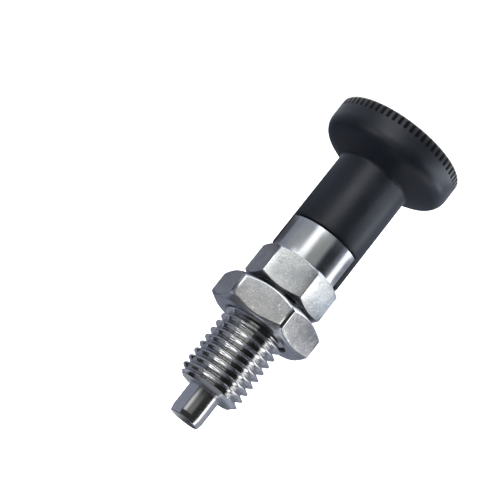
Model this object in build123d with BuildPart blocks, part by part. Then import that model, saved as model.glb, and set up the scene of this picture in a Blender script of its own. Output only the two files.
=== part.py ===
from build123d import *

import os
from math import cos, pi, radians, sin, tan

# An indexing plunger with a rest position, standing on its knob with the pin upwards.
# The axis is +Z and the origin is the middle of the knob's flat top, which is the face it stands on,
# so heights run from the knob at 0 up to the tip of the pin. All sizes are in millimetres.

os.makedirs("parts", exist_ok=True)

# Pin: one turned bar, with a shoulder that the spring pushes on
pin_diameter = 6.0
pin_reach = 6.0
pin_taper_length = 1.1
pin_taper_angle = 12.0
pin_tip_round = 0.2
shoulder_length = 2.5
shoulder_clearance = 0.1
shoulder_seat_gap = 0.05
anchor_depth = 14.35
anchor_groove_width = 1.2
anchor_groove_depth = 0.4
anchor_groove_spacing = 4.0
anchor_groove_count = 3

# Housing: thread, hexagon and slotted collar in one piece
thread_diameter = 12.0
thread_pitch = 1.5
thread_depth = 0.92
thread_root_width = 0.25
thread_flank_angle = 30.0
thread_runout = 0.92
thread_end_chamfer = 1.05
shank_length = 20.55
relief_width = 1.65
relief_depth = 1.0
hexagon_width = 14.0
hexagon_height = 6.55
hexagon_turn = 5.0
hexagon_corner_round = 0.2
hexagon_face_step = 0.35
hexagon_nut_bevel = 30.0
hexagon_knob_bevel = 25.0
collar_diameter = 13.95
collar_length = 6.45
collar_edge = 0.2
slot_width = 5.5

# Bores of the housing
guide_length = 6.0
guide_clearance = 0.03
guide_mouth = 0.3
spring_bore_diameter = 8.6
bush_bore_step = 0.45

# Bush that closes the spring in
bush_length = 3.7
bush_clearance = 0.04
bush_edge = 0.3

# Spring
wire_diameter = 0.8
spring_bore_clearance = 0.25
active_turns = 7
closed_turn_gap = 0.06

# Knob: one moulding with two legs that run in the slots of the collar
knob_diameter = 25.0
knob_height = 22.55
knob_body_height = 3.6
knob_rim_edge = 0.3
knob_corner_radius = 3.0
knob_underside_angle = 26.3
knob_neck_radius = 0.8
sleeve_end_round = 0.5
sleeve_gap = 0.1
leg_clearance = 0.15
leg_tip_gap = 0.6
leg_tip_edge = 0.4
knurl_count = 64
knurl_height = 1.7
knurl_groove_width = 0.64
knurl_groove_depth = 0.3

# Jam nut
nut_width = 18.0
nut_height = 5.8
nut_gap = 0.95
nut_turn = 7.0
nut_corner_round = 0.6
nut_face_step = 0.45
nut_bevel = 30.0
nut_thread_clearance = 0.05
nut_mouth = 0.5

# Radii
pin_radius = pin_diameter / 2
tip_radius = pin_radius - pin_taper_length * tan(radians(pin_taper_angle))
guide_radius = pin_radius + guide_clearance
spring_bore_radius = spring_bore_diameter / 2
shoulder_radius = spring_bore_radius - shoulder_clearance
bush_radius = spring_bore_radius + bush_bore_step
bush_bore_radius = pin_radius + bush_clearance
wire_radius = wire_diameter / 2
coil_radius = spring_bore_radius - spring_bore_clearance - wire_radius
thread_radius = thread_diameter / 2
relief_radius = thread_radius - relief_depth
collar_radius = collar_diameter / 2
sleeve_radius = collar_radius
knob_radius = knob_diameter / 2
nut_bore_radius = thread_radius + nut_thread_clearance

# Heights, from the knob's top upwards
sleeve_end = knob_height
collar_end = sleeve_end + sleeve_gap
hexagon_base = collar_end + collar_length
hexagon_top = hexagon_base + hexagon_height
thread_start = hexagon_top + relief_width
shank_end = hexagon_top + shank_length
pin_tip = shank_end + pin_reach
guide_step = shank_end - guide_length
shoulder_top = guide_step - shoulder_seat_gap
shoulder_base = shoulder_top - shoulder_length
bush_top = hexagon_base + bush_length
stem_end = sleeve_end - anchor_depth
nut_base = hexagon_top + nut_gap
nut_top = nut_base + nut_height


def bevelled_hexagon(width, turn, corner_round, base, top, base_radius, base_bevel, top_radius, top_bevel):
    """A hexagon with a corner at the angle turn, bevelled down to a round face at each end."""
    reach = width * 2 / 3  # a little past the corners, which lie at 0.58 of the width
    base_rise = (reach - base_radius) * tan(radians(base_bevel))
    top_fall = (reach - top_radius) * tan(radians(top_bevel))
    with BuildPart() as block:
        with BuildSketch(Plane.XY.offset(base)):
            outline = RegularPolygon(radius=width / 2, side_count=6, major_radius=False, rotation=turn)
            fillet(outline.vertices(), radius=corner_round)
        extrude(amount=top - base)
        with BuildSketch(Plane.XZ):
            with BuildLine():
                Polyline(
                    (0, base),
                    (base_radius, base),
                    (reach, base + base_rise),
                    (reach, top),
                    (0, top),
                    close=True,
                )
            make_face()
            with BuildLine():
                Polyline(
                    (0, base),
                    (reach, base),
                    (reach, top - top_fall),
                    (top_radius, top),
                    (0, top),
                    close=True,
                )
            make_face(mode=Mode.INTERSECT)
        revolve(axis=Axis.Z, mode=Mode.INTERSECT)
    return block.part


def thread_groove():
    """What the thread's groove takes out of the shank: a right-hand helix from the relief out past the end."""
    start = hexagon_top + thread_runout
    root = thread_radius - thread_depth
    rim = thread_radius + thread_depth / 9  # a little outside the crests
    half_root = thread_root_width / 2
    half_rim = half_root + (rim - root) * tan(radians(thread_flank_angle))
    with BuildPart() as groove:
        with BuildLine() as path:
            Helix(pitch=thread_pitch, height=shank_end + thread_pitch / 2 - start, radius=root, center=(0, 0, start))
        with BuildSketch(Plane.XZ):
            with BuildLine():
                Polyline(
                    (root, start - half_root),
                    (rim, start - half_rim),
                    (rim, start + half_rim),
                    (root, start + half_root),
                    close=True,
                )
            make_face()
        sweep(path=path.wire(), is_frenet=True)
    return groove.part.rotate(Axis.Z, 180)


def threaded(blank):
    """The turned blank with its thread cut.

    A cut along a long helix can miss and leave the blank as it was. So the metal taken out is set against
    the groove's section times its length, and the blank's seam is turned on until the two agree.
    """
    groove = thread_groove()
    slope = tan(radians(thread_flank_angle))
    section = thread_depth * (thread_root_width + thread_depth * slope)
    turns = (shank_end - 0.65 * thread_end_chamfer - thread_start + 0.35 * relief_depth) / thread_pitch
    expected = section * turns * 2 * pi * (thread_radius - 0.39 * thread_depth)
    for seam in (200, 180, 225, 250, 270, 160, 90):
        turned = blank.rotate(Axis.Z, seam)
        cut = turned - groove
        removed = turned.volume - cut.volume
        if abs(removed / expected - 1) < 0.03:
            print(f"thread cut with the seam at {seam}: {removed:.1f} of {expected:.1f} mm3")
            return cut
    raise ValueError("the thread could not be cut at these sizes")


def stem_outline():
    """The stem inside the knob, from its end up to the sleeve: plain lands with anchor grooves between."""
    groove_radius = pin_radius - anchor_groove_depth
    points = [(0, stem_end), (pin_radius, stem_end)]
    for index in range(anchor_groove_count):
        low = stem_end + anchor_groove_width + index * anchor_groove_spacing
        high = low + anchor_groove_width
        points += [(pin_radius, low), (groove_radius, low), (groove_radius, high), (pin_radius, high)]
    return points


def knob_legs():
    """A bar right across the knob, turned to the sleeve's radius, with its tip edges broken."""
    half_width = slot_width / 2 - leg_clearance
    foot = sleeve_end - 2 * sleeve_end_round
    tip = hexagon_base - leg_tip_gap
    with BuildPart() as bar:
        with BuildSketch(Plane.YZ):
            with BuildLine():
                Polyline(
                    (-half_width, foot),
                    (half_width, foot),
                    (half_width, tip - leg_tip_edge),
                    (half_width - leg_tip_edge, tip),
                    (leg_tip_edge - half_width, tip),
                    (-half_width, tip - leg_tip_edge),
                    close=True,
                )
            make_face()
        extrude(amount=collar_diameter, both=True)
        with BuildSketch(Plane.XZ):
            with BuildLine():
                Polyline(
                    (0, foot),
                    (sleeve_radius, foot),
                    (sleeve_radius, tip - leg_tip_edge),
                    (sleeve_radius - leg_tip_edge, tip),
                    (0, tip),
                    close=True,
                )
            make_face()
        revolve(axis=Axis.Z, mode=Mode.INTERSECT)
    return bar.part


# Pin, shoulder and stem
with BuildPart() as plunger_pin:
    with BuildSketch(Plane.XZ):
        with BuildLine():
            Polyline(
                *stem_outline(),
                (pin_radius, shoulder_base),
                (shoulder_radius, shoulder_base),
                (shoulder_radius, shoulder_top),
                (pin_radius, shoulder_top),
                (pin_radius, pin_tip - pin_taper_length),
                (tip_radius, pin_tip),
                (0, pin_tip),
                close=True,
            )
        make_face()
    revolve(axis=Axis.Z)
    tip_face = plunger_pin.faces().sort_by(Axis.Z)[-1]
    fillet(tip_face.edges(), radius=pin_tip_round)
plunger_pin.part.label = "plunger_pin"
export_step(plunger_pin.part, "parts/plunger_pin.step")


# Housing: the collar and the shank are turned, the hexagon is milled, then the bores and slots
hexagon = bevelled_hexagon(
    width=hexagon_width,
    turn=hexagon_turn,
    corner_round=hexagon_corner_round,
    base=hexagon_base,
    top=hexagon_top,
    base_radius=collar_radius,
    base_bevel=hexagon_knob_bevel,
    top_radius=hexagon_width / 2 - hexagon_face_step,
    top_bevel=hexagon_nut_bevel,
)
with BuildPart() as blank:
    with BuildSketch(Plane.XZ):
        with BuildLine():
            Polyline(
                (0, collar_end),
                (collar_radius - collar_edge, collar_end),
                (collar_radius, collar_end + collar_edge),
                (collar_radius, hexagon_base),
                (relief_radius, hexagon_base),
                (relief_radius, thread_start - relief_depth),
                (thread_radius, thread_start),
                (thread_radius, shank_end - thread_end_chamfer),
                (thread_radius - thread_end_chamfer, shank_end),
                (0, shank_end),
                close=True,
            )
        make_face()
    revolve(axis=Axis.Z)
with BuildPart() as housing:
    add(threaded(blank.part))
    add(hexagon)
    with BuildSketch(Plane.XZ):
        with BuildLine():
            Polyline(
                (0, collar_end),
                (bush_radius, collar_end),
                (bush_radius, bush_top),
                (spring_bore_radius, bush_top),
                (spring_bore_radius, guide_step),
                (guide_radius, guide_step),
                (guide_radius, shank_end - guide_mouth),
                (guide_radius + guide_mouth, shank_end),
                (0, shank_end),
                close=True,
            )
        make_face()
    revolve(axis=Axis.Z, mode=Mode.SUBTRACT)
    with BuildSketch(Plane.XY.offset(collar_end)):
        Rectangle(collar_diameter + slot_width, slot_width)
    extrude(amount=collar_length, mode=Mode.SUBTRACT)
housing.part.label = "housing"
export_step(housing.part, "parts/housing.step")


# Guide bush, pressed into the housing below the slots
with BuildPart() as guide_bush:
    with BuildSketch(Plane.XZ):
        with BuildLine():
            Polyline(
                (bush_bore_radius, hexagon_base + bush_edge),
                (bush_bore_radius + bush_edge, hexagon_base),
                (bush_radius, hexagon_base),
                (bush_radius, bush_top),
                (bush_bore_radius + bush_edge, bush_top),
                (bush_bore_radius, bush_top - bush_edge),
                close=True,
            )
        make_face()
    revolve(axis=Axis.Z)
guide_bush.part.label = "guide_bush"
export_step(guide_bush.part, "parts/guide_bush.step")


# Spring: a closed turn at each end, ground flat, and the working turns between them
spring_length = shoulder_base - bush_top
closed_pitch = wire_diameter + closed_turn_gap
active_pitch = (spring_length - 2 * closed_pitch) / active_turns
turns = [
    (bush_top, closed_pitch, 1),
    (bush_top + closed_pitch, active_pitch, active_turns),
    (shoulder_base - closed_pitch, closed_pitch, 1),
]
with BuildPart() as return_spring:
    for start, pitch, count in turns:
        with BuildLine() as path:
            Helix(pitch=pitch, height=pitch * count, radius=coil_radius, center=(0, 0, start))
        with BuildSketch(Plane.XZ):
            with Locations((coil_radius, start)):
                Circle(wire_radius)
        sweep(path=path.wire(), is_frenet=True)
    with BuildSketch(Plane.XY.offset(bush_top)):
        Circle(spring_bore_radius)
    extrude(amount=spring_length, mode=Mode.INTERSECT)
return_spring.part.label = "return_spring"
export_step(return_spring.part, "parts/return_spring.step")


# Knob: the turned form is a sleeve that runs by a shallow cone into a rounded rim
corner_angle = radians(90 - knob_underside_angle)
cone_start_radius = knob_radius - knob_corner_radius * (1 - cos(corner_angle))
cone_start = knob_body_height + knob_corner_radius * sin(corner_angle)
neck = cone_start + (cone_start_radius - sleeve_radius) * tan(radians(knob_underside_angle))
with BuildPart() as knob:
    with BuildSketch(Plane.XZ):
        with BuildLine():
            Polyline((cone_start_radius, cone_start), (sleeve_radius, neck), (sleeve_radius, sleeve_end))
            Line((sleeve_radius, sleeve_end), (0, sleeve_end))
            Line((0, sleeve_end), (0, 0))
            Line((0, 0), (knob_radius - knob_rim_edge, 0))
            Line((knob_radius - knob_rim_edge, 0), (knob_radius, knob_rim_edge))
            Line((knob_radius, knob_rim_edge), (knob_radius, knob_body_height))
            CenterArc(
                center=(knob_radius - knob_corner_radius, knob_body_height),
                radius=knob_corner_radius,
                start_angle=0,
                arc_size=90 - knob_underside_angle,
            )
        make_face()
    revolve(axis=Axis.Z)
    neck_edge = knob.edges().filter_by(GeomType.CIRCLE).sort_by(lambda edge: abs(edge.center().Z - neck))[0]
    fillet(neck_edge, radius=knob_neck_radius)
    sleeve_edge = knob.faces().sort_by(Axis.Z)[-1].edges()
    fillet(sleeve_edge, radius=sleeve_end_round)
    add(knob_legs())
    with BuildSketch(Plane.XZ):
        with BuildLine():
            Polyline(*stem_outline(), (pin_radius, hexagon_base), (0, hexagon_base), close=True)
        make_face()
    revolve(axis=Axis.Z, mode=Mode.SUBTRACT)
    groove_radius = (knurl_groove_width**2 / 4 + knurl_groove_depth**2) / (2 * knurl_groove_depth)
    with BuildSketch(Plane.XY):
        with PolarLocations(knob_radius - knurl_groove_depth + groove_radius, knurl_count):
            Circle(groove_radius)
    extrude(amount=knurl_height, mode=Mode.SUBTRACT)
knob.part.label = "knob"
export_step(knob.part, "parts/knob.step")


# Jam nut
nut_face_radius = nut_width / 2 - nut_face_step
nut_block = bevelled_hexagon(
    width=nut_width,
    turn=nut_turn,
    corner_round=nut_corner_round,
    base=nut_base,
    top=nut_top,
    base_radius=nut_face_radius,
    base_bevel=nut_bevel,
    top_radius=nut_face_radius,
    top_bevel=nut_bevel,
)
with BuildPart() as jam_nut:
    add(nut_block)
    with BuildSketch(Plane.XZ):
        with BuildLine():
            Polyline(
                (0, nut_base),
                (nut_bore_radius + nut_mouth, nut_base),
                (nut_bore_radius, nut_base + nut_mouth),
                (nut_bore_radius, nut_top - nut_mouth),
                (nut_bore_radius + nut_mouth, nut_top),
                (0, nut_top),
                close=True,
            )
        make_face()
    revolve(axis=Axis.Z, mode=Mode.SUBTRACT)
jam_nut.part.label = "jam_nut"
export_step(jam_nut.part, "parts/jam_nut.step")
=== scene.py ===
import math

import bmesh
import bpy
import numpy as np
from mathutils import Matrix, Vector


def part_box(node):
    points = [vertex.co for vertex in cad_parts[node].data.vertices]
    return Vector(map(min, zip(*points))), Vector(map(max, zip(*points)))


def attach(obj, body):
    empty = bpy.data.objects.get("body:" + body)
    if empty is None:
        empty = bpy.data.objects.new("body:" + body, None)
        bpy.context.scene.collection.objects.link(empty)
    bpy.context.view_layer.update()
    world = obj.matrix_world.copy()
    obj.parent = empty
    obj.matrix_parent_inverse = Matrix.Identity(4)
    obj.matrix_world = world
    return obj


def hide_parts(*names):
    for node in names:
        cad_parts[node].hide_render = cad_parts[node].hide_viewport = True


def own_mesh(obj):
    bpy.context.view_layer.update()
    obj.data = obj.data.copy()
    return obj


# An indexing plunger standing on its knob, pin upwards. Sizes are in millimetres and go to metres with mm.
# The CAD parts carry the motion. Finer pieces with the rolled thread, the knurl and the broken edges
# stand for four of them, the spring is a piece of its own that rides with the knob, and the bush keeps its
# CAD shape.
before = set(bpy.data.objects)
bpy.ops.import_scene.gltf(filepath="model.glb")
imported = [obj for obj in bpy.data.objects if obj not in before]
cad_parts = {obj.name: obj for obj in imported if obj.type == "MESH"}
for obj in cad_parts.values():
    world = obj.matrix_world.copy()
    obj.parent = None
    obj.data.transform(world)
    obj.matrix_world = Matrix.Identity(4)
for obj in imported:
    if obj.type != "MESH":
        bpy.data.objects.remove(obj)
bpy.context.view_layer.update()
mm = 0.001


# How the meshes are finished: doubled points within merge (metres) become one
meshing = {"merge": 4e-7, "sliver": 2e-7, "normalWeight": 60}


# A piece is a ring of columns. Every corner of its profile is (radius, height, cut, finish), in millimetres:
# radius and height may differ from column to column, cut is how much of the corner is rounded off,
# and finish is the material from that corner to the next.
def curveCorners(corners, columnCount, closed, steps=3):
    radii = np.array([np.broadcast_to(c[0], columnCount) for c in corners], float)
    heights = np.array([np.broadcast_to(c[1], columnCount) for c in corners], float)
    points = np.stack([radii, heights], axis=1)
    count = len(corners)
    rows, finishes = [], []
    for i, corner in enumerate(corners):
        cut, finish = corner[2:]
        isEnd = not closed and i in (0, count - 1)
        if isEnd or not np.any(cut):
            rows.append(points[i])
            finishes.append(finish)
            continue
        here = points[i]
        back = points[i - 1] - here
        ahead = points[(i + 1) % count] - here
        backLength = np.maximum(np.hypot(*back), 1e-9)
        aheadLength = np.maximum(np.hypot(*ahead), 1e-9)
        reach = np.minimum(cut, 0.45 * np.minimum(backLength, aheadLength))
        start = here + back * reach / backLength
        end = here + ahead * reach / aheadLength
        for t in np.linspace(0, 1, steps + 1):
            rows.append((1 - t) ** 2 * start + 2 * t * (1 - t) * here + t * t * end)
            finishes.append(finish)
    return np.array(rows), finishes


def buildPiece(name, corners, angles, finishes, closed=False, joinEnds=True, shift=None, steps=3,
               sharp=30, worn=None):
    rows, bandFinish = curveCorners(corners, len(angles), closed, steps)
    radii, heights = rows[:, 0], rows[:, 1]
    turn = np.broadcast_to(angles, radii.shape)
    if shift:
        turn = shift(turn, radii, heights)
    turn = np.radians(turn)
    points = np.stack([radii * np.cos(turn), radii * np.sin(turn), heights], axis=-1) * mm
    rowCount, columnCount = radii.shape
    grid = np.arange(rowCount * columnCount).reshape(rowCount, columnCount)
    if joinEnds:
        grid = np.hstack([grid, grid[:, :1]])
    if closed:
        grid = np.vstack([grid, grid[:1]])
    quads = np.stack([grid[:-1, :-1], grid[:-1, 1:], grid[1:, 1:], grid[1:, :-1]], axis=-1)
    kinds = list(finishes)
    band = [kinds.index(f) for f in bandFinish][: quads.shape[0]]
    faceFinish = np.tile(np.array(band)[:, None], (1, quads.shape[1]))
    if worn:  # the columns along the corners take another finish
        columns, plain, edge = worn
        swapped = (faceFinish == kinds.index(plain)) & columns[None, : quads.shape[1]]
        faceFinish = np.where(swapped, kinds.index(edge), faceFinish)
    mesh = bpy.data.meshes.new(name)
    mesh.from_pydata(points.reshape(-1, 3).tolist(), [], quads.reshape(-1, 4).tolist())
    for kind in kinds:
        mesh.materials.append(finishes[kind])
    mesh.polygons.foreach_set("material_index", faceFinish.ravel().astype(np.int32))
    work = bmesh.new()
    work.from_mesh(mesh)
    bmesh.ops.remove_doubles(work, verts=work.verts, dist=meshing["merge"])
    bmesh.ops.dissolve_degenerate(work, edges=work.edges, dist=meshing["sliver"])
    bmesh.ops.recalc_face_normals(work, faces=work.faces)
    work.to_mesh(mesh)
    work.free()
    mesh.polygons.foreach_set("use_smooth", [True] * len(mesh.polygons))
    mesh.set_sharp_from_angle(angle=math.radians(sharp))
    piece = bpy.data.objects.new(name, mesh)
    bpy.context.scene.collection.objects.link(piece)
    weighted = piece.modifiers.new("edge shading", "WEIGHTED_NORMAL")
    weighted.keep_sharp = True
    weighted.weight = meshing["normalWeight"]
    print(f"{name}: {len(mesh.polygons)} faces")
    return piece


# Even columns, with the kept angles let in and the even ones too near to them left out
def columnAngles(step, kept, clear):
    even = np.arange(0, 360, step)
    kept = np.mod(np.array(kept, float), 360)
    away = [a for a in even if np.abs((a - kept + 180) % 360 - 180).min() > clear]
    return np.unique(np.round(np.concatenate([away, kept]), 7))


def arcPoints(centreRadius, centreHeight, radius, startAngle, endAngle, count, finish):
    turns = np.radians(np.linspace(startAngle, endAngle, count))
    return [(centreRadius + radius * math.cos(a), centreHeight + radius * math.sin(a), 0, finish)
            for a in turns]


# A hexagon with rounded corners: where a rounding has its centre, and the half angle that it takes up
def cornerArc(width, rounding):
    half = math.radians(30)
    centre = (width / 2 - rounding) / math.cos(half)
    limit = math.atan(rounding * math.sin(half) / (centre + rounding * math.cos(half)))
    return centre, limit


# Degrees from the nearest corner of a hexagon
def cornerDistance(angles, turn):
    return np.abs((angles - turn + 30) % 60 - 30)


# Distance from the axis to the hexagon. fall is how its flats fall away beside the corners:
# (share of the way to the corner where it starts, depth at the corner)
def hexagonRadius(angles, width, turn, rounding, fall=(1, 0)):
    fromCorner = np.radians(cornerDistance(angles, turn))
    half = math.radians(30)
    centre, limit = cornerArc(width, rounding)
    flat = width / 2 / np.cos(half - fromCorner)
    sideways = centre * np.sin(fromCorner)
    corner = centre * np.cos(fromCorner) + np.sqrt(np.maximum(rounding**2 - sideways**2, 0))
    start, drop = fall
    place = np.tan(half - fromCorner) / math.tan(half)
    drop = drop * np.clip((place - start) / (1 - start + 1e-9), 0, 1) ** 2
    return np.where(fromCorner < limit, corner, flat) - drop


# Columns that follow the six roundings
def hexagonCorners(width, turn, rounding):
    limit = math.degrees(cornerArc(width, rounding)[1])
    return [turn + 60 * k + limit * s for k in range(6) for s in np.linspace(-1, 1, 9)]


# Which columns lie on the rounded corners, for their own finish
def cornerColumns(angles, width, turn, rounding):
    middles = (angles + np.append(angles[1:], angles[0] + 360)) / 2
    return cornerDistance(middles, turn) < math.degrees(cornerArc(width, rounding)[1])


# Angles are drawn together or apart inside the wall so that the sides of a slot or leg stay flat
def flatSides(halfWidth, wallRadius, innerRadius, low, high):
    atWall = math.degrees(math.asin(halfWidth / wallRadius))

    def shift(turn, radii, heights):
        side = (turn + 90) % 180 - 90
        inner = np.degrees(np.arcsin(halfWidth / np.clip(radii, innerRadius, wallRadius)))
        near = side * inner / atWall
        far = np.sign(side) * (inner + (np.abs(side) - atWall) * (90 - inner) / (90 - atWall))
        moved = turn - side + np.where(np.abs(side) <= atWall + 1e-6, near, far)
        return np.where((heights > low) & (heights < high), moved, turn)

    return shift, atWall


# The flat side of a slot or leg stands on two columns at one place, one of each height.
# It gives all the columns, and which of them lie inside the slots or legs.
def doubledFlanks(columns, flankAngle):
    angles, isInside = [], []
    for a in columns:
        side = (a + 90) % 180 - 90
        if abs(abs(side) - flankAngle) < 1e-5:
            leaving = side > 0
            angles += [a, a]
            isInside += [leaving, not leaving]
        else:
            angles.append(a)
            isInside.append(abs(side) < flankAngle)
    return np.array(angles), np.array(isInside)


def newMaterial(name):
    material = bpy.data.materials.new(name)
    material.use_nodes = True
    return material, material.node_tree.nodes, material.node_tree.links


def addNode(nodes, kind, **values):
    node = nodes.new(kind)
    for key, value in values.items():
        if hasattr(node, key):
            setattr(node, key, value)
        else:
            node.inputs[key].default_value = value
    return node


def addNoise(nodes, links, coordinates, scale, detail=3.0, roughness=0.5, stretch=None):
    source = coordinates
    if stretch:
        mapping = addNode(nodes, "ShaderNodeMapping")
        mapping.inputs["Scale"].default_value = stretch
        links.new(coordinates, mapping.inputs["Vector"])
        source = mapping.outputs["Vector"]
    noise = addNode(nodes, "ShaderNodeTexNoise", Scale=scale, Detail=detail, Roughness=roughness)
    links.new(source, noise.inputs["Vector"])
    return noise.outputs["Fac"]


def addRange(nodes, links, value, fromLow, fromHigh, toLow, toHigh):
    node = addNode(nodes, "ShaderNodeMapRange")
    node.inputs["From Min"].default_value = fromLow
    node.inputs["From Max"].default_value = fromHigh
    node.inputs["To Min"].default_value = toLow
    node.inputs["To Max"].default_value = toHigh
    links.new(value, node.inputs["Value"])
    return node.outputs["Result"]


def addMath(nodes, links, operation, first, second):
    node = addNode(nodes, "ShaderNodeMath", operation=operation)
    for socket, value in zip(node.inputs, (first, second)):
        if isinstance(value, (int, float)):
            socket.default_value = value
        else:
            links.new(value, socket)
    return node.outputs["Value"]


def addMix(nodes, links, factor, first, second):
    node = addNode(nodes, "ShaderNodeMix", data_type="RGBA")
    links.new(factor, node.inputs["Factor"])
    colourSockets = [s for s in node.inputs if s.type == "RGBA"]
    for socket, value in zip(colourSockets, (first, second)):
        if isinstance(value, tuple):
            socket.default_value = (*value, 1)
        else:
            links.new(value, socket)
    return [s for s in node.outputs if s.type == "RGBA"][0]


def axisDistance(nodes, links, split):
    level = addNode(nodes, "ShaderNodeCombineXYZ")
    links.new(split.outputs["X"], level.inputs["X"])
    links.new(split.outputs["Y"], level.inputs["Y"])
    radius = addNode(nodes, "ShaderNodeVectorMath", operation="LENGTH")
    links.new(level.outputs["Vector"], radius.inputs[0])
    return radius.outputs["Value"]


# Where most values of a noise texture lie
noiseSpan = (0.3, 0.7)


# One steel with what each finish shows: lines left by the tool, grain, smears, bright specks and painted
# shade towards the axis
def steelFinish(name, settings):
    material, nodes, links = newMaterial(name)
    shader = nodes["Principled BSDF"]
    shader.inputs["Metallic"].default_value = 1
    place = addNode(nodes, "ShaderNodeTexCoord").outputs["Object"]
    smears = addNoise(nodes, links, place, settings["smearScale"], 4, 0.6)
    grain = addNoise(nodes, links, place, settings["grainScale"], 5, 0.65)
    lines = addNoise(nodes, links, place, settings["lineScale"], 3, 0.7, stretch=settings["lineStretch"])
    tone = addMath(nodes, links, "ADD", addRange(nodes, links, smears, *noiseSpan, -0.5, 0.5),
                   addRange(nodes, links, grain, *noiseSpan, -settings["grainTone"], settings["grainTone"]))
    tone = addMath(nodes, links, "ADD", tone, 0.5)
    colour = addMix(nodes, links, tone, settings["dark"], settings["light"])
    if settings.get("specks"):
        speckNoise = addNoise(nodes, links, place, settings["speckScale"], 2, 0.5)
        low, high, share = settings["specks"]
        specks = addRange(nodes, links, speckNoise, low, high, 0, share)
        colour = addMix(nodes, links, specks, colour, settings["speckColour"])
    # Painted shade: the colour darkens towards the axis inside the given radii
    if settings.get("innerShade"):
        split = addNode(nodes, "ShaderNodeSeparateXYZ")
        links.new(place, split.inputs["Vector"])
        low, high, share = settings["innerShade"]
        innerShadeMask = addRange(nodes, links, axisDistance(nodes, links, split), low * mm, high * mm, share, 0)
        colour = addMix(nodes, links, innerShadeMask, colour, settings["innerShadeColour"])
    links.new(colour, shader.inputs["Base Color"])
    rough = addMath(nodes, links, "ADD", addRange(nodes, links, smears, *noiseSpan, *settings["roughness"]),
                    addRange(nodes, links, lines, *noiseSpan, -settings["lineRough"], settings["lineRough"]))
    links.new(rough, shader.inputs["Roughness"])
    if settings.get("stretchGloss"):
        shader.inputs["Anisotropic"].default_value = settings["stretchGloss"]
        tangent = addNode(nodes, "ShaderNodeTangent", direction_type="RADIAL", axis="Z")
        links.new(tangent.outputs["Tangent"], shader.inputs["Tangent"])
    relief = addMath(nodes, links, "ADD",
                     addMath(nodes, links, "MULTIPLY", lines, settings["lineDepth"]),
                     addMath(nodes, links, "MULTIPLY", grain, settings["grainDepth"]))
    bump = addNode(nodes, "ShaderNodeBump", Strength=1.0, Distance=mm)
    links.new(relief, bump.inputs["Height"])
    links.new(bump.outputs["Normal"], shader.inputs["Normal"])
    return material


polishedCollar = steelFinish("polishedCollar", {
    "light": (0.90, 0.91, 0.90), "dark": (0.78, 0.80, 0.81),
    "roughness": (0.11, 0.17), "smearScale": 260, "grainScale": 2600, "grainTone": 0.15,
    "lineScale": 1, "lineStretch": (200, 200, 22000), "lineRough": 0.03, "stretchGloss": 0.35,
    "lineDepth": 0.0012, "grainDepth": 0.0006,
})
satin = {
    "light": (0.72, 0.72, 0.70), "dark": (0.50, 0.51, 0.52),
    "roughness": (0.20, 0.27), "smearScale": 320, "grainScale": 3200, "grainTone": 0.5,
    "lineScale": 1, "lineStretch": (1500, 1500, 9000), "lineRough": 0.04,
    "lineDepth": 0.003, "grainDepth": 0.020,
    "speckScale": 2200, "specks": (0.66, 0.72, 0.8), "speckColour": (0.98, 0.97, 0.94),
}
satinFlats = steelFinish("satinFlats", satin)
nutFlats = steelFinish("nutFlats", {**satin, "light": (0.62, 0.62, 0.61), "dark": (0.42, 0.43, 0.445)})
wornEdge = steelFinish("wornEdge", {
    "light": (0.94, 0.94, 0.93), "dark": (0.84, 0.85, 0.86),
    "roughness": (0.10, 0.16), "smearScale": 600, "grainScale": 3200, "grainTone": 0.2,
    "lineScale": 1, "lineStretch": (1500, 1500, 3000), "lineRough": 0.03,
    "lineDepth": 0.001, "grainDepth": 0.004,
})
# Painted shade: dark steel for the ring on the hexagon's top, the collar's end edge and the nut's underside,
# where the gaps lie in shade
shadedFace = steelFinish("shadedFace", {
    "light": (0.15, 0.15, 0.16), "dark": (0.08, 0.08, 0.09),
    "roughness": (0.32, 0.42), "smearScale": 500, "grainScale": 3800, "grainTone": 0.3,
    "lineScale": 1, "lineStretch": (3000, 3000, 3000), "lineRough": 0.04,
    "lineDepth": 0.002, "grainDepth": 0.003,
})
rolledThread = steelFinish("rolledThread", {
    "light": (0.88, 0.88, 0.87), "dark": (0.74, 0.75, 0.76),
    "roughness": (0.09, 0.15), "smearScale": 500, "grainScale": 4500, "grainTone": 0.2,
    "lineScale": 1, "lineStretch": (500, 500, 9000), "lineRough": 0.03,
    "lineDepth": 0.0010, "grainDepth": 0.0014,
    "innerShade": (5.05, 5.35, 0.5), "innerShadeColour": (0.10, 0.10, 0.10),  # painted shade in the thread's roots, darkest at the root radius
})
turnedFace = steelFinish("turnedFace", {
    "light": (0.62, 0.64, 0.68), "dark": (0.46, 0.48, 0.52),
    "roughness": (0.26, 0.34), "smearScale": 400, "grainScale": 3800, "grainTone": 0.3,
    "lineScale": 1, "lineStretch": (3000, 3000, 3000), "lineRough": 0.04,
    "lineDepth": 0.002, "grainDepth": 0.003,
})
groundPin = steelFinish("groundPin", {
    "light": (0.88, 0.89, 0.90), "dark": (0.76, 0.77, 0.79),
    "roughness": (0.12, 0.18), "smearScale": 420, "grainScale": 4500, "grainTone": 0.15,
    "lineScale": 1, "lineStretch": (300, 300, 26000), "lineRough": 0.03, "stretchGloss": 0.3,
    "lineDepth": 0.0010, "grainDepth": 0.0007,
})
drilledBore = steelFinish("drilledBore", {
    "light": (0.52, 0.52, 0.53), "dark": (0.38, 0.38, 0.40),
    "roughness": (0.34, 0.45), "smearScale": 500, "grainScale": 3500, "grainTone": 0.3,
    "lineScale": 1, "lineStretch": (300, 300, 9000), "lineRough": 0.05,
    "lineDepth": 0.005, "grainDepth": 0.004,
})
drawnWire = steelFinish("drawnWire", {
    "light": (0.60, 0.60, 0.61), "dark": (0.40, 0.41, 0.43),
    "roughness": (0.24, 0.34), "smearScale": 700, "grainScale": 5000, "grainTone": 0.3,
    "lineScale": 1, "lineStretch": (900, 900, 7000), "lineRough": 0.05,
    "lineDepth": 0.003, "grainDepth": 0.003,
})
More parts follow.
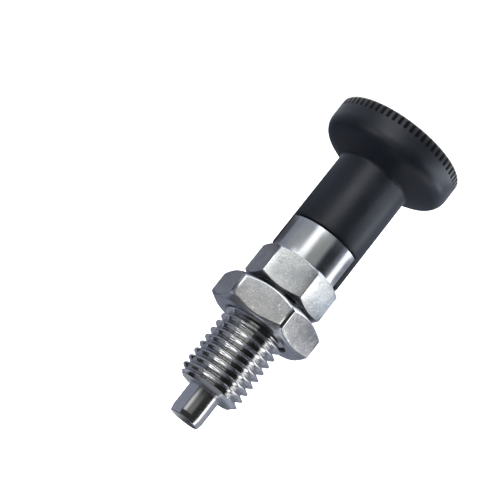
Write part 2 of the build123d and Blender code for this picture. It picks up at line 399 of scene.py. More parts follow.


# Black glass-filled moulding: fine spark-eroded grain, paler scuffs, and painted shade in the knurl's
# grooves.
# The groove's zone is (lowest, highest, deepest radius, radius at the rim), in mm
def mouldedBlack(name, settings):
    material, nodes, links = newMaterial(name)
    shader = nodes["Principled BSDF"]
    shader.inputs["IOR"].default_value = settings["ior"]
    place = addNode(nodes, "ShaderNodeTexCoord").outputs["Object"]
    cloud = addNoise(nodes, links, place, settings["cloudScale"], 4, 0.6)
    grain = addNoise(nodes, links, place, settings["grainScale"], 4, 0.6)
    scuff = addNoise(nodes, links, place, settings["scuffScale"], 6, 0.75, stretch=settings["scuffStretch"])
    colour = addMix(nodes, links, addRange(nodes, links, cloud, *settings["cloudSpan"], 0, 1),
                    settings["dark"], settings["light"])
    low, high, share = settings["scuffs"]
    paler = addRange(nodes, links, scuff, low, high, 0, share)
    colour = addMix(nodes, links, paler, colour, settings["worn"])
    split = addNode(nodes, "ShaderNodeSeparateXYZ")
    links.new(place, split.inputs["Vector"])
    # Painted shade in the knurl's grooves: the colour turns to grooveShade and the gloss all but goes
    low, high, deep, rim = settings["groove"]
    soft = settings["grooveSoftness"]
    height = split.outputs["Z"]
    inward = addRange(nodes, links, axisDistance(nodes, links, split), deep * mm, rim * mm, 1, 0)
    aboveLow = addRange(nodes, links, height, low * mm, (low + soft) * mm, 0, 1)
    belowHigh = addRange(nodes, links, height, (high - soft) * mm, high * mm, 1, 0)
    inGroove = addMath(nodes, links, "MULTIPLY", inward,
                       addMath(nodes, links, "MULTIPLY", aboveLow, belowHigh))
    colour = addMix(nodes, links, inGroove, colour, settings["grooveShade"])
    links.new(colour, shader.inputs["Base Color"])
    gloss = addRange(nodes, links, inGroove, 0, 1, *settings["gloss"])
    links.new(gloss, shader.inputs["Specular IOR Level"])
    grainRough = settings["grainRough"]
    rough = addMath(nodes, links, "ADD", addRange(nodes, links, cloud, *noiseSpan, *settings["roughness"]),
                    addRange(nodes, links, grain, *noiseSpan, -grainRough, grainRough))
    links.new(rough, shader.inputs["Roughness"])
    relief = addMath(nodes, links, "ADD",
                     addMath(nodes, links, "MULTIPLY", grain, settings["grainDepth"]),
                     addMath(nodes, links, "MULTIPLY", cloud, settings["cloudDepth"]))
    bump = addNode(nodes, "ShaderNodeBump", Strength=1.0, Distance=mm)
    links.new(relief, bump.inputs["Height"])
    links.new(bump.outputs["Normal"], shader.inputs["Normal"])
    return material


blackMoulding = mouldedBlack("blackMoulding", {
    "light": (0.0030, 0.0042, 0.0066), "dark": (0.0019, 0.0028, 0.0048), "worn": (0.030, 0.034, 0.043),
    "ior": 1.45, "gloss": (0.5, 0.05), "roughness": (0.34, 0.43), "grainRough": 0.04,
    # the groove zone with its colour and low gloss is painted shade
    "groove": (0.22, 1.78, 12.2, 12.46), "grooveSoftness": 0.1, "grooveShade": (0.003, 0.003, 0.004),
    "cloudScale": 180, "cloudSpan": (0.35, 0.65), "cloudDepth": 0.02,
    "grainScale": 4200, "grainDepth": 0.012,
    "scuffScale": 900, "scuffStretch": (1, 1, 0.35), "scuffs": (0.60, 0.78, 0.25),
})
print("materials made")


# The stem that the knob is moulded round: plain lands with grooves between
stem = {"radius": 3.0, "end": 8.2, "grooveWidth": 1.2, "grooveDepth": 0.4, "spacing": 4.0, "grooves": 3}


def stemLine(finish):
    points = [(stem["radius"], stem["end"], 0, finish)]
    for index in range(stem["grooves"]):
        low = stem["end"] + stem["grooveWidth"] + index * stem["spacing"]
        high = low + stem["grooveWidth"]
        deep = stem["radius"] - stem["grooveDepth"]
        points += [(stem["radius"], low, 0, finish), (deep, low, 0, finish)]
        points += [(deep, high, 0, finish), (stem["radius"], high, 0, finish)]
    return points


pinSizes = {
    "shoulder": (47.65, 50.15), "shoulderRadius": 4.2, "shoulderEdge": 0.1,
    "tip": 62.2, "taperLength": 1.1, "tipRadius": 2.766, "tipRound": 0.2,
    "plainRow": 2.64,  # a row this far under the tip keeps the shading of the cylinder straight
    "columns": 128,
}


def makePin(sizes):
    steel = "ground"
    low, high = sizes["shoulder"]
    corners = [(0, stem["end"], 0, steel)] + stemLine(steel) + [
        (stem["radius"], low, 0, steel),
        (sizes["shoulderRadius"], low, sizes["shoulderEdge"], steel),
        (sizes["shoulderRadius"], high, sizes["shoulderEdge"], steel),
        (stem["radius"], high, 0, steel),
        (stem["radius"], sizes["tip"] - sizes["plainRow"], 0, steel),
        (stem["radius"], sizes["tip"] - sizes["taperLength"], 0, steel),
        (sizes["tipRadius"], sizes["tip"], sizes["tipRound"], "end"),
        (0, sizes["tip"], 0, "end"),
    ]
    angles = np.arange(0, 360, 360 / sizes["columns"])
    finishes = {"ground": groundPin, "end": turnedFace}
    return buildPiece("lockPin", corners, angles, finishes, steps=9, sharp=10)


lockPin = makePin(pinSizes)
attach(lockPin, "knob_and_pin")
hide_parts("plunger_pin")

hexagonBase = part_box("guide_bush")[0].z / mm
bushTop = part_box("guide_bush")[1].z / mm

knobSizes = {
    "radius": 12.5, "rimEdge": 0.3, "rimCut": 0.1, "bodyHeight": 3.6, "cornerRadius": 3.0, "coneAngle": 26.3,
    "neckCut": 0.5, "sleeveRadius": 6.975, "sleeveEnd": 22.55, "sleeveRound": 0.5,
    "legHalfWidth": 2.6, "legGap": 0.6, "legEdge": 0.4,
    "teeth": 64, "toothHeight": 1.7, "grooveHalfWidth": 0.32, "grooveDepth": 0.3, "grooveEndSlope": 0.06,
    # plain rows that keep the shading of the big faces even
    "faceRow": 4, "grooveRow": 0.935, "aboveTeethRow": 0.5, "coneRow": 1.5, "sleeveRows": (13.0, 18.0, 21.55),
    "columnClearance": 0.35,  # in degrees, between the columns of the teeth and those of the legs
}


def makeKnob(sizes):
    black = "black"
    radius = sizes["radius"]
    pitch = 360 / sizes["teeth"]
    perDegree = math.radians(1) * radius
    acrossGroove = np.array([-0.9999, -0.9, -0.66, -0.33, 0, 0.33, 0.66, 0.9, 0.9999])
    acrossGroove = acrossGroove * sizes["grooveHalfWidth"] / perDegree
    inTooth = np.array([-0.5, 0.32, -0.32]) * pitch
    offsets = np.concatenate([acrossGroove, inTooth])
    toothColumns = (np.arange(sizes["teeth"])[:, None] * pitch + offsets[None]).ravel()
    shift, legAngle = flatSides(sizes["legHalfWidth"], sizes["sleeveRadius"], stem["radius"], 7.0, 40.0)
    edgeTurn = math.degrees(sizes["legEdge"] / sizes["sleeveRadius"])
    legColumns = [side + sign * a for side in (0, 180) for sign in (-1, 1)
                  for a in (legAngle, legAngle - 0.35 * edgeTurn, legAngle - edgeTurn)]
    away = [a for a in np.mod(toothColumns, 360)
            if min(abs((a - b + 180) % 360 - 180) for b in legColumns) > sizes["columnClearance"]]
    columns = sorted(np.round(np.mod(np.concatenate([away, legColumns]), 360), 7))
    angles, isLeg = doubledFlanks(columns, legAngle)

    fromGroove = np.abs((angles + pitch / 2) % pitch - pitch / 2) * perDegree
    half, deep = sizes["grooveHalfWidth"], sizes["grooveDepth"]
    cutterRadius = (half**2 + deep**2) / (2 * deep)
    inGroove = np.minimum(fromGroove, half)
    groove = np.maximum(deep - cutterRadius + np.sqrt(cutterRadius**2 - inGroove**2), 0)

    side = np.abs((angles + 90) % 180 - 90)
    insideLeg = np.clip((legAngle - side) * math.radians(1) * sizes["sleeveRadius"], 0, sizes["legEdge"])
    legTip = hexagonBase - sizes["legGap"]
    top = np.where(isLeg, legTip - (sizes["legEdge"] - insideLeg), sizes["sleeveEnd"])
    endCut = np.where(isLeg, sizes["legEdge"], sizes["sleeveRound"])

    cornerCentre = radius - sizes["cornerRadius"]
    cornerEnd = 90 - sizes["coneAngle"]
    coneRadius = cornerCentre + sizes["cornerRadius"] * math.cos(math.radians(cornerEnd))
    coneStart = sizes["bodyHeight"] + sizes["cornerRadius"] * math.sin(math.radians(cornerEnd))
    coneSlope = math.tan(math.radians(sizes["coneAngle"]))
    neck = coneStart + (coneRadius - sizes["sleeveRadius"]) * coneSlope
    corners = [
        (0, 0, 0, black),
        (sizes["faceRow"], 0, 0, black),
        (radius - sizes["rimEdge"], 0, sizes["rimCut"], black),
        (radius - groove, sizes["rimEdge"] - groove, sizes["rimCut"], black),
        (radius - groove, sizes["grooveRow"], 0, black),
        (radius - groove, sizes["toothHeight"], 0, black),
        (radius, sizes["toothHeight"] + sizes["grooveEndSlope"], 0, black),
        (radius, sizes["toothHeight"] + sizes["aboveTeethRow"], 0, black),
    ]
    corners += arcPoints(cornerCentre, sizes["bodyHeight"], sizes["cornerRadius"], 0, cornerEnd, 12, black)
    corners += [
        (coneRadius - sizes["coneRow"], coneStart + sizes["coneRow"] * coneSlope, 0, black),
        (sizes["sleeveRadius"], neck, sizes["neckCut"], black),
    ]
    corners += [(sizes["sleeveRadius"], height, 0, black) for height in sizes["sleeveRows"]]
    corners += [
        (sizes["sleeveRadius"], top, endCut, black),
        (stem["radius"], top, 0, black),
    ]
    corners += stemLine(black)[::-1]
    corners.append((0, stem["end"], 0, black))
    return buildPiece("knobMoulding", corners, angles, {"black": blackMoulding}, shift=shift, steps=5)


knobMoulding = makeKnob(knobSizes)
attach(knobMoulding, "knob_and_pin")
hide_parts("knob")

# Right-handed metric fine thread with flat crests and rounded roots. A crest passes the angle 0 at phase.
thread = {
    "radius": 6.0, "pitch": 1.5, "phase": 0.57, "flankAngle": 30,
    "rootRound": 0.144,  # share of the pitch
    "crestEdge": 0.021,
}


def threadRadius(fromCrest):
    pitch = thread["pitch"]
    flankAngle = math.radians(thread["flankAngle"])
    slope = math.tan(flankAngle)
    crestHalf = pitch / 16
    apex = thread["radius"] - (pitch / 2 - crestHalf) / slope
    rootRound = thread["rootRound"] * pitch
    flank = thread["radius"] - (fromCrest - crestHalf) / slope
    fromRoot = pitch / 2 - fromCrest
    rounded = apex + 2 * rootRound - np.sqrt(np.maximum(rootRound**2 - fromRoot**2, 0))
    isRoot = fromRoot < rootRound * math.cos(flankAngle)
    isCrest = fromCrest < crestHalf
    radius = np.where(isRoot, rounded, np.where(isCrest, thread["radius"], flank))
    nearEdge = np.abs(fromCrest - crestHalf) < 1e-4
    return np.where(nearEdge, radius - thread["crestEdge"], radius)


# Where the rows of one turn lie, from the crest's middle
turnRows = np.array([0, 0.045, 0.09375, 0.135, 0.24, 0.36, 0.48, 0.5625, 0.61, 0.66, 0.705, 0.75])
turnRows = np.concatenate([-turnRows[-2:0:-1], turnRows])

housingSizes = {
    "shankEnd": 56.2, "endRadius": 4.95, "threadStop": 36.3, "reliefRadius": 5.0,
    "endStep": 0.12, "mouthCut": 0.05,
    "hexagonTop": 35.65, "width": 14.0, "turn": 5.0, "rounding": 0.2, "edgeCut": 0.2, "faceCut": 0.1,
    "flatFall": (0.52, 0.11),
    "faceStep": 0.35, "nutBevel": 30.0, "knobBevel": 25.0,
    "collarRadius": 6.975, "collarEnd": 22.65, "collarEdge": 0.15, "collarEndCut": 0.08,
    "collarRows": (0.25, 3.05),  # plain rows this far below the hexagon keep the collar's shading even
    "slotHalfWidth": 2.75, "slotBreak": 0.07,
    "boreRadius": 4.75, "boreEdge": 0.1, "springRadius": 4.3, "guideRadius": 3.03, "guideMouth": 0.3,
    "guideStep": 50.2,
    "columnStep": 2.25, "columnClearance": 0.45,
}


def makeHousing(sizes):
    shift, slotAngle = flatSides(sizes["slotHalfWidth"], sizes["collarRadius"], sizes["boreRadius"],
                                 sizes["collarEnd"] - 1, hexagonBase + 0.001)
    breakTurn = math.degrees(1.5 * sizes["slotBreak"] / sizes["collarRadius"])
    flanks = [side + sign * a for side in (0, 180) for sign in (-1, 1)
              for a in (slotAngle, slotAngle + breakTurn)]
    kept = hexagonCorners(sizes["width"], sizes["turn"], sizes["rounding"]) + flanks
    plain = columnAngles(sizes["columnStep"], kept, sizes["columnClearance"])
    angles, inSlot = doubledFlanks(np.concatenate([plain, [360.0]]), slotAngle)
    count = len(angles)

    def inCollar(height):
        return np.where(inSlot, hexagonBase, height)

    side = np.abs((angles + 90) % 180 - 90)
    atFlank = (np.abs(side - slotAngle) < 1e-5) & ~inSlot
    wall = sizes["collarRadius"] - np.where(atFlank, sizes["slotBreak"], 0)
    endEdge = wall - sizes["collarEdge"]

    corners = [
        (sizes["guideRadius"], sizes["guideStep"], 0, "bore"),
        (sizes["guideRadius"], sizes["shankEnd"] - sizes["guideMouth"], sizes["mouthCut"], "face"),
        (sizes["guideRadius"] + sizes["guideMouth"], sizes["shankEnd"], sizes["mouthCut"], "face"),
        (sizes["endRadius"] - sizes["endStep"], sizes["shankEnd"], 0, "face"),
    ]
    crest = thread["phase"] + thread["pitch"] * angles / 360
    firstTurn = math.ceil((sizes["shankEnd"] - thread["phase"]) / thread["pitch"]) + 1
    lastTurn = math.floor((sizes["threadStop"] - thread["phase"]) / thread["pitch"]) - 2
    for index in range(firstTurn, lastTurn, -1):
        for fromCrest in turnRows[::-1]:
            height = crest + thread["pitch"] * index + fromCrest
            inside = np.clip(height, sizes["threadStop"], sizes["shankEnd"])
            endChamfer = sizes["endRadius"] + sizes["shankEnd"] - inside
            runOut = sizes["reliefRadius"] + inside - sizes["threadStop"]
            radius = threadRadius(np.full(count, abs(fromCrest)))
            radius = np.minimum(np.minimum(radius, endChamfer), runOut)
            radius = np.where(height >= sizes["shankEnd"], sizes["endRadius"], radius)
            radius = np.where(height <= sizes["threadStop"], sizes["reliefRadius"], radius)
            corners.append((radius, inside, 0, "thread"))
    hexagon = hexagonRadius(angles, sizes["width"], sizes["turn"], sizes["rounding"], sizes["flatFall"])
    faceRadius = sizes["width"] / 2 - sizes["faceStep"]
    topFall = (hexagon - faceRadius) * math.tan(math.radians(sizes["nutBevel"]))
    baseRise = (hexagon - sizes["collarRadius"]) * math.tan(math.radians(sizes["knobBevel"]))
    corners += [
        # The ring round the thread's run-out on the hexagon's top takes the painted shade
        (sizes["reliefRadius"], sizes["hexagonTop"], 0, "under"),
        (faceRadius, sizes["hexagonTop"], sizes["faceCut"], "face"),
        (hexagon, sizes["hexagonTop"] - topFall, sizes["edgeCut"], "flats"),
        (hexagon, hexagonBase + baseRise, sizes["edgeCut"], "flats"),
        (sizes["collarRadius"], hexagonBase, 0, "collar"),
    ]
    corners += [(wall, inCollar(hexagonBase - below), 0, "collar") for below in sizes["collarRows"]]
    corners += [
        # The collar's end edge takes the painted shade as well
        (wall, inCollar(sizes["collarEnd"] + sizes["collarEdge"]), 0, "under"),
        (endEdge, inCollar(sizes["collarEnd"]), sizes["collarEndCut"], "under"),
        (sizes["boreRadius"] + sizes["boreEdge"], inCollar(sizes["collarEnd"]), 0, "bore"),
        (sizes["boreRadius"], inCollar(sizes["collarEnd"] + sizes["boreEdge"]), 0, "bore"),
        (sizes["boreRadius"], hexagonBase, 0, "bore"),
        (sizes["boreRadius"], bushTop, 0, "bore"),
        (sizes["springRadius"], bushTop, 0, "bore"),
        (sizes["springRadius"], sizes["guideStep"], 0, "bore"),
    ]
    finishes = {"thread": rolledThread, "flats": satinFlats, "collar": polishedCollar,
                "edge": wornEdge, "face": turnedFace, "under": shadedFace, "bore": drilledBore}
    worn = (cornerColumns(angles, sizes["width"], sizes["turn"], sizes["rounding"]), "flats", "edge")
    return buildPiece("threadedHousing", corners, angles, finishes, closed=True, joinEnds=False, shift=shift,
                      worn=worn)


threadedHousing = makeHousing(housingSizes)
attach(threadedHousing, "housing_body")
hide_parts("housing")

nutSizes = {
    "base": 36.6, "top": 42.4, "width": 18.0, "turn": 7.0, "rounding": 1.0,
    "faceStep": 0.45, "bevel": 30.0, "edgeCut": 0.4, "lowEdgeCut": 0.28, "faceCut": 0.2, "mouthCut": 0.05,
    "bevelRow": 0.6,  # share of the way down the lower bevel where its worn edge ends
    "boreRadius": 6.05, "mouth": 0.5, "threadDepth": 0.42,
    # one turn of the bore's thread: (share of the pitch from the shank's crest, share of the depth)
    "threadRows": ((0, 1), (0.09, 0.9), (0.38, 0.1), (0.44, 0), (0.56, 0), (0.62, 0.1), (0.91, 0.9)),
    "columnStep": 2.5, "columnClearance": 0.5,
}


def makeNut(sizes):
    kept = hexagonCorners(sizes["width"], sizes["turn"], sizes["rounding"])
    angles = np.concatenate([columnAngles(sizes["columnStep"], kept, sizes["columnClearance"]), [360.0]])
    hexagon = hexagonRadius(angles, sizes["width"], sizes["turn"], sizes["rounding"])
    faceRadius = sizes["width"] / 2 - sizes["faceStep"]
    fall = (hexagon - faceRadius) * math.tan(math.radians(sizes["bevel"]))
    low, high = sizes["base"], sizes["top"]
    mouthRadius = sizes["boreRadius"] + sizes["mouth"]
    onBevel = sizes["bevelRow"]
    corners = [
        (mouthRadius, high, sizes["mouthCut"], "face"),
        (faceRadius, high, sizes["faceCut"], "face"),
        (hexagon, high - fall, sizes["edgeCut"], "flats"),
        (hexagon, low + fall, sizes["lowEdgeCut"], "edge"),
        # From partway down the lower bevel to the bore, the underside takes the painted shade of the gap
        # above the hexagon
        (hexagon * onBevel + faceRadius * (1 - onBevel), low + onBevel * fall, 0, "under"),
        (faceRadius, low, sizes["faceCut"], "under"),
        (mouthRadius, low, 0, "bore"),
    ]
    # the bore's thread, cut outwards so that it stays clear of the shank's while the nut slides
    crest = thread["phase"] + thread["pitch"] * angles / 360
    firstTurn = math.floor((low - thread["phase"]) / thread["pitch"]) - 2
    lastTurn = math.ceil((high - thread["phase"]) / thread["pitch"]) + 1
    for index in range(firstTurn, lastTurn + 1):
        for share, depth in sizes["threadRows"]:
            height = crest + thread["pitch"] * (index + share)
            inside = np.clip(height, low, high)
            radius = sizes["boreRadius"] + sizes["threadDepth"] * depth
            mouth = mouthRadius - np.minimum(inside - low, high - inside)
            radius = np.maximum(radius, mouth)
            radius = np.where((height <= low) | (height >= high), mouthRadius, radius)
            corners.append((radius, inside, 0, "bore"))
    finishes = {"flats": nutFlats, "edge": wornEdge, "face": turnedFace, "under": shadedFace,
                "bore": drilledBore}
    worn = (cornerColumns(angles, sizes["width"], sizes["turn"], sizes["rounding"]), "flats", "edge")
    return buildPiece("hexJamNut", corners, angles, finishes, closed=True, joinEnds=False, worn=worn)


hexJamNut = makeNut(nutSizes)
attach(hexJamNut, "nut_body")
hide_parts("jam_nut")

# The bush keeps its CAD shape
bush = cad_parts["guide_bush"]
bush.data.materials.clear()
bush.data.materials.append(drilledBore)


# The spring has its CAD shape too, and rides with the knob and pin
def makeSpring():
    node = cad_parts["return_spring"]
    spring = bpy.data.objects.new("coilSpring", node.data.copy())
    spring.matrix_world = node.matrix_world
    spring.data.materials.clear()
    spring.data.materials.append(drawnWire)
    bpy.context.scene.collection.objects.link(spring)
    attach(spring, "knob_and_pin")
    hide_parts("return_spring")
    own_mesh(spring)


makeSpring()
print("pieces made")


cameraSizes = {
    "aim": (11.377, -1.548, 31.917), "azimuth": -97.6906, "elevation": 13.2147, "distance": 267.881,
    "roll": -141.2385, "view": 17.57, "sensor": 36, "nearest": 10,
}


def makeCamera(sizes):
    azimuth, elevation = math.radians(sizes["azimuth"]), math.radians(sizes["elevation"])
    outwards = Vector((math.cos(elevation) * math.cos(azimuth), math.cos(elevation) * math.sin(azimuth),
                       math.sin(elevation)))
    data = bpy.data.cameras.new("productCamera")
    data.sensor_width = sizes["sensor"]
    data.sensor_height = sizes["sensor"]
    data.angle = math.radians(sizes["view"])
    data.clip_start = sizes["nearest"] * mm
    camera = bpy.data.objects.new("productCamera", data)
    place = (Vector(sizes["aim"]) + outwards * sizes["distance"]) * mm
    facing = (-outwards).to_track_quat("-Z", "Y").to_matrix().to_4x4()
    rolled = Matrix.Rotation(math.radians(sizes["roll"]), 4, "Z")
    camera.matrix_world = Matrix.Translation(place) @ facing @ rolled
    bpy.context.scene.collection.objects.link(camera)
    bpy.context.scene.camera = camera


makeCamera(cameraSizes)

# A pale table that glows a little more with the distance from the part, in metres
floorSettings = {
    "size": 60.0, "drop": 0.00002, "colour": (0.86, 0.865, 0.87), "paler": (0.87, 0.875, 0.88),
    "cloudScale": 9, "roughness": 0.7, "gloss": 0.1,
    "near": 0.10, "far": 0.45, "nearGlow": 0.72, "farGlow": 1.0,
}


def makeFloor(settings):
    material, nodes, links = newMaterial("paleTable")
    shader = nodes["Principled BSDF"]
    shader.inputs["Roughness"].default_value = settings["roughness"]
    shader.inputs["Specular IOR Level"].default_value = settings["gloss"]
    place = addNode(nodes, "ShaderNodeTexCoord").outputs["Object"]
    cloud = addNoise(nodes, links, place, settings["cloudScale"], 3, 0.5)
    colour = addMix(nodes, links, addRange(nodes, links, cloud, *noiseSpan, 0, 1),
                    settings["colour"], settings["paler"])
    links.new(colour, shader.inputs["Base Color"])
    away = addNode(nodes, "ShaderNodeVectorMath", operation="LENGTH")
    links.new(place, away.inputs[0])
    glow = addRange(nodes, links, away.outputs["Value"], settings["near"], settings["far"],
                    settings["nearGlow"], settings["farGlow"])
    shader.inputs["Emission Color"].default_value = (1, 1, 1, 1)
    links.new(glow, shader.inputs["Emission Strength"])
    half = settings["size"] / 2
    corners = [(-half, -half, 0), (half, -half, 0), (half, half, 0), (-half, half, 0)]
    mesh = bpy.data.meshes.new("floor")
    mesh.from_pydata(corners, [], [(0, 1, 2, 3)])
    mesh.materials.append(material)
    floor = bpy.data.objects.new("floor", mesh)
    floor.location.z = -settings["drop"]
    bpy.context.scene.collection.objects.link(floor)


makeFloor(floorSettings)

# Light tent round the part, seen only in its reflections: a ground sheet, a round wall and a flat roof.
# Wall panels are (azimuth, half width, soft edge, lowest and highest height, light), with azimuths in degrees
# from the camera to its left and heights in mm. The ground sheet carries the panels' heights under 0.
# Roof strips fan out to the left and right over the thread: (sideways slope, half width, soft edge, light).
tent = {
    "facing": -97.7, "radius": 40.0, "height": 110.0, "lift": 0.2, "heightSoftness": 2.0,
    "groundRadius": 13.5, "groundFall": 0.234, "groundRings": 29, "roofRings": 40, "roofHole": 0.01,
    "wall": (0.205, 0.218, 0.262),
    "panels": {
        "whiteLeft": (77, 9.5, 7, -10, 120, (1.15, 1.16, 1.18)),
        "blackLeft": (37.5, 20, 26, -10, 120, (0.018, 0.020, 0.024)),
        "greyFront": (2, 16, 14, -10, 120, (0.27, 0.285, 0.28)),
        "whiteRight": (-27.5, 10, 14, -10, 120, (1.2, 1.2, 1.2)),
        "greyRight": (-62, 20, 14, -10, 120, (0.26, 0.275, 0.30)),
        "legShade": (-143, 37, 9, 12, 20, (0.06, 0.064, 0.076)),
        "hexagonLeft": (99, 17, 4, 20.5, 26, (0.86, 0.99, 1.16)),
        "hexagonDark": (47, 16, 6, 20.5, 28, (0.02, 0.02, 0.022)),
        "hexagonEdge": (80, 8, 3, 20.5, 28, (2.9, 2.9, 2.9)),
        "hexagonFront": (2, 16, 12, 20.5, 28, (0.22, 0.235, 0.24)),
        "hexagonRight": (-26, 12, 12, 20.5, 28, (0.62, 0.65, 0.66)),
        "hexagonBright": (-46, 11, 8, 21.5, 28, (3.6, 3.6, 3.6)),
        "nutLeft": (92, 16, 4, 26.5, 34.5, (0.15, 0.165, 0.21)),
        "nutEdge": (68, 6, 3, 28, 34.5, (2.0, 2.0, 2.0)),
        "nutCorner": (27, 30, 6, 28, 34.5, (0.02, 0.02, 0.022)),
        "nutFront": (2, 16, 12, 28, 35, (0.12, 0.125, 0.13)),
        "nutRight": (-27, 14, 12, 27.5, 31.5, (1.15, 1.17, 1.19)),
        "nutTop": (-27, 14, 12, 31.5, 35, (0.15, 0.16, 0.175)),
        "nutBright": (-47, 8, 6, 28, 34, (2.2, 2.2, 2.2)),
        "sleeveDark": (0, 180, 1, -10, 12.4, (0.15, 0.175, 0.23)),
        "sleeveEdge": (118, 16, 12, -1, 12.4, (0.50, 0.56, 0.68)),
        "sleeveLeft": (83, 13, 14, -1, 12.4, (3.1, 3.35, 3.9)),
        "sleeveRight": (-23, 15, 28, -1, 12.4, (2.95, 3.05, 3.35)),
        "sleeveBack": (-84.5, 37.5, 20, -1, 12.4, (0.38, 0.43, 0.54)),
        "rimGround": (0, 180, 1, -10, -1, (0.60, 0.65, 0.76)),
        "rimSpot": (54, 8, 18, -1, 9, (2.6, 2.8, 3.2)),
        "rimLeft": (60, 14, 20, -10, -1, (2.5, 2.7, 3.1)),
        "rimShade": (20, 8, 14, -10, -1, (0.42, 0.46, 0.54)),
        "rimRight": (-21, 14, 16, -10, -1, (1.8, 1.85, 2.0)),
        "threadSides": (180, 108, 6, 34.5, 46, (0.35, 0.37, 0.45)),
        "threadArc": (84, 15, 6, 34.5, 46, (1.2, 1.2, 1.25)),
        "threadWhite": (70.5, 5.5, 3, 34.5, 46, (2.3, 2.3, 2.3)),
        "threadDark": (35, 29, 4, 34.5, 46, (0.015, 0.016, 0.018)),
        "threadBright": (-12.5, 18.5, 4, 34.5, 46, (1.1, 1.08, 1.03)),
        "threadGrey": (-53, 22, 4, 34.5, 46, (0.13, 0.13, 0.135)),
        "threadShade": (-99, 20, 5, 32, 46, (0.02, 0.02, 0.023)),
        "pinSides": (180, 127, 4, 46, 80, (0.22, 0.235, 0.29)),
        "pinDark": (8, 62, 3, 45, 80, (0.025, 0.025, 0.025)),
        "pinLeft": (108, 24, 8, 46, 80, (0.31, 0.32, 0.37)),
        "pinWhite": (78, 9.5, 4, 45, 80, (1.5, 1.5, 1.5)),
        "pinFront": (-14, 28, 22, 52.6, 57.5, (0.18, 0.18, 0.175)),
        "pinBright": (-36, 8, 24, 51.9, 57.5, (0.85, 0.85, 0.83)),
        "coneRight": (-146, 16, 10, 36, 50, (0.13, 0.14, 0.18)),
    },
    "threadHeight": 46.0, "roofLow": 62.0, "frontRise": 18.0, "roofSoftness": 8.0,
    "stripEnd": 4, "stripEndSoftness": 6, "roof": (0.20, 0.205, 0.235),
    "strips": {
        "left": (1.2, 0.72, 0.04, (0.34, 0.365, 0.45)),
        "white": (0.455, 0.045, 0.025, (2.1, 2.1, 2.1)),
        "dark": (0.225, 0.18, 0.025, (0.008, 0.008, 0.010)),
        "bright": (-0.125, 0.125, 0.02, (1.0, 0.98, 0.93)),
        "grey": (-0.44, 0.19, 0.03, (0.13, 0.13, 0.135)),
        "darkRight": (-0.74, 0.12, 0.04, (0.012, 0.012, 0.014)),
        "right": (-1.5, 0.64, 0.04, (0.32, 0.34, 0.42)),
    },
    # dark cloth over the back, (border, soft edge) each way
    "backDark": {"front": (-24, 4), "side": (21.5, 3), "low": (78, 6), "light": (0.02, 0.022, 0.03)},
}


def softStep(value):
    value = np.clip(value, 0, 1)
    return (value * value * (3 - 2 * value))[..., None]


def covered(light, cover, colour):
    return light * (1 - cover) + np.array(colour) * cover


# Light at each point of the tent, from its azimuth and panel height and from where it lies in the room
def tentLight(settings, across, level, left, front, up):
    light = np.zeros(across.shape + (3,))
    light[:] = settings["wall"]
    soft = settings["heightSoftness"]
    for azimuth, halfWidth, edge, low, high, colour in settings["panels"].values():
        turned = np.abs((across - azimuth + 180) % 360 - 180)
        cover = softStep((halfWidth + edge / 2 - turned) / edge)
        cover = cover * softStep((level - low) / soft + 0.5) * softStep((high - level) / soft + 0.5)
        light = covered(light, cover, colour)

    slope = left / np.maximum(up - settings["threadHeight"], 1)
    roof = np.zeros(across.shape + (3,))
    roof[:] = settings["roof"]
    for middle, halfWidth, edge, colour in settings["strips"].values():
        cover = softStep((halfWidth + edge / 2 - np.abs(slope - middle)) / edge)
        cover = cover * softStep((settings["stripEnd"] - front) / settings["stripEndSoftness"])
        roof = covered(roof, cover, colour)
    roofLow = settings["roofLow"] + settings["frontRise"] * softStep(front / settings["radius"] + 0.5)[..., 0]
    light = covered(light, softStep((up - roofLow) / settings["roofSoftness"]), roof)

    back = settings["backDark"]
    (behind, behindSoft), (side, sideSoft), (low, lowSoft) = back["front"], back["side"], back["low"]
    cover = softStep((behind - front) / behindSoft) * softStep((side - np.abs(left)) / sideSoft)
    cover = cover * softStep((up - low) / lowSoft)
    return covered(light, cover, back["light"])


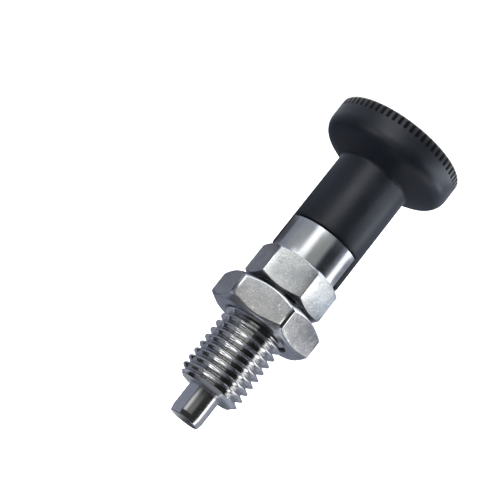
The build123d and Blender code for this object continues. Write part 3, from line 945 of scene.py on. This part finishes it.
def makeTent(settings):
    wallRadius, top = settings["radius"], settings["height"]
    azimuths = np.arange(-180, 180, 1.0)
    ground = np.linspace(settings["groundRadius"], wallRadius, settings["groundRings"] + 1)[:-1]
    heights = np.arange(0, top + 0.1, 1.0)
    rings = np.linspace(wallRadius, settings["roofHole"], settings["roofRings"])
    away = np.concatenate([ground, np.full(len(heights), wallRadius), rings])
    up = np.concatenate([np.full(len(ground), 0.0), heights, np.full(len(rings), top)])
    level = np.concatenate([(ground - wallRadius) * settings["groundFall"], up[len(ground):]])
    across, away = np.meshgrid(azimuths, away)
    up = np.broadcast_to(up[:, None], across.shape)
    level = np.broadcast_to(level[:, None], across.shape)
    left = away * np.sin(np.radians(across))
    front = away * np.cos(np.radians(across))
    light = tentLight(settings, across, level, left, front, up)

    turn = np.radians(settings["facing"] - across)
    points = np.stack([away * np.cos(turn), away * np.sin(turn), up + settings["lift"]], -1) * mm
    grid = np.arange(across.size).reshape(across.shape)
    grid = np.hstack([grid, grid[:, :1]])
    quads = np.stack([grid[:-1, :-1], grid[:-1, 1:], grid[1:, 1:], grid[1:, :-1]], -1).reshape(-1, 4)
    mesh = bpy.data.meshes.new("lightTent")
    mesh.from_pydata(points.reshape(-1, 3).tolist(), [], quads.tolist())
    layer = mesh.attributes.new("tentLight", "FLOAT_COLOR", "POINT")
    layer.data.foreach_set("color", np.concatenate([light, np.ones(across.shape + (1,))], -1).ravel())
    material, nodes, links = newMaterial("tentCloth")
    nodes.remove(nodes["Principled BSDF"])
    glow = addNode(nodes, "ShaderNodeEmission")
    source = addNode(nodes, "ShaderNodeAttribute", attribute_name="tentLight")
    links.new(source.outputs["Color"], glow.inputs["Color"])
    links.new(glow.outputs["Emission"], nodes["Material Output"].inputs["Surface"])
    mesh.materials.append(material)
    wall = bpy.data.objects.new("lightTent", mesh)
    bpy.context.scene.collection.objects.link(wall)
    wall.visible_camera = False
    wall.visible_diffuse = False
    wall.visible_shadow = False
    wall.visible_transmission = False
    wall.visible_volume_scatter = False


makeTent(tent)

# Softboxes for the matte faces and the shadows, in metres and watts, all aimed at the middle of the part
lampAim = (0, 0, 0.03)
lamps = {
    "overheadSoftbox": {"at": (-0.15, 0.10, 0.85), "size": 0.9, "watts": 9.0, "colour": (1.0, 1.0, 1.0)},
    "keySoftbox": {"at": (-0.45, -0.45, 0.40), "size": 0.30, "watts": 4.0, "colour": (1.0, 0.99, 0.97)},
    "fillSoftbox": {"at": (0.50, -0.40, 0.25), "size": 0.40, "watts": 1.5, "colour": (0.93, 0.96, 1.0)},
}


def makeLamp(name, settings):
    data = bpy.data.lights.new(name, "AREA")
    data.size = settings["size"]
    data.energy = settings["watts"]
    data.color = settings["colour"]
    lamp = bpy.data.objects.new(name, data)
    lamp.location = settings["at"]
    lamp.rotation_euler = (Vector(lampAim) - lamp.location).to_track_quat("-Z", "Y").to_euler()
    lamp.visible_camera = False
    lamp.visible_glossy = False
    bpy.context.scene.collection.objects.link(lamp)


for lampName, lampSettings in lamps.items():
    makeLamp(lampName, lampSettings)

roomSettings = {"colour": (0.20, 0.21, 0.25), "strength": 1.0}
room = bpy.data.worlds.new("studioRoom")
room.use_nodes = True
room.node_tree.nodes["Background"].inputs["Color"].default_value = (*roomSettings["colour"], 1)
room.node_tree.nodes["Background"].inputs["Strength"].default_value = roomSettings["strength"]
bpy.context.scene.world = room
bpy.context.scene.view_settings.view_transform = "Standard"
print("stage, light and camera set")
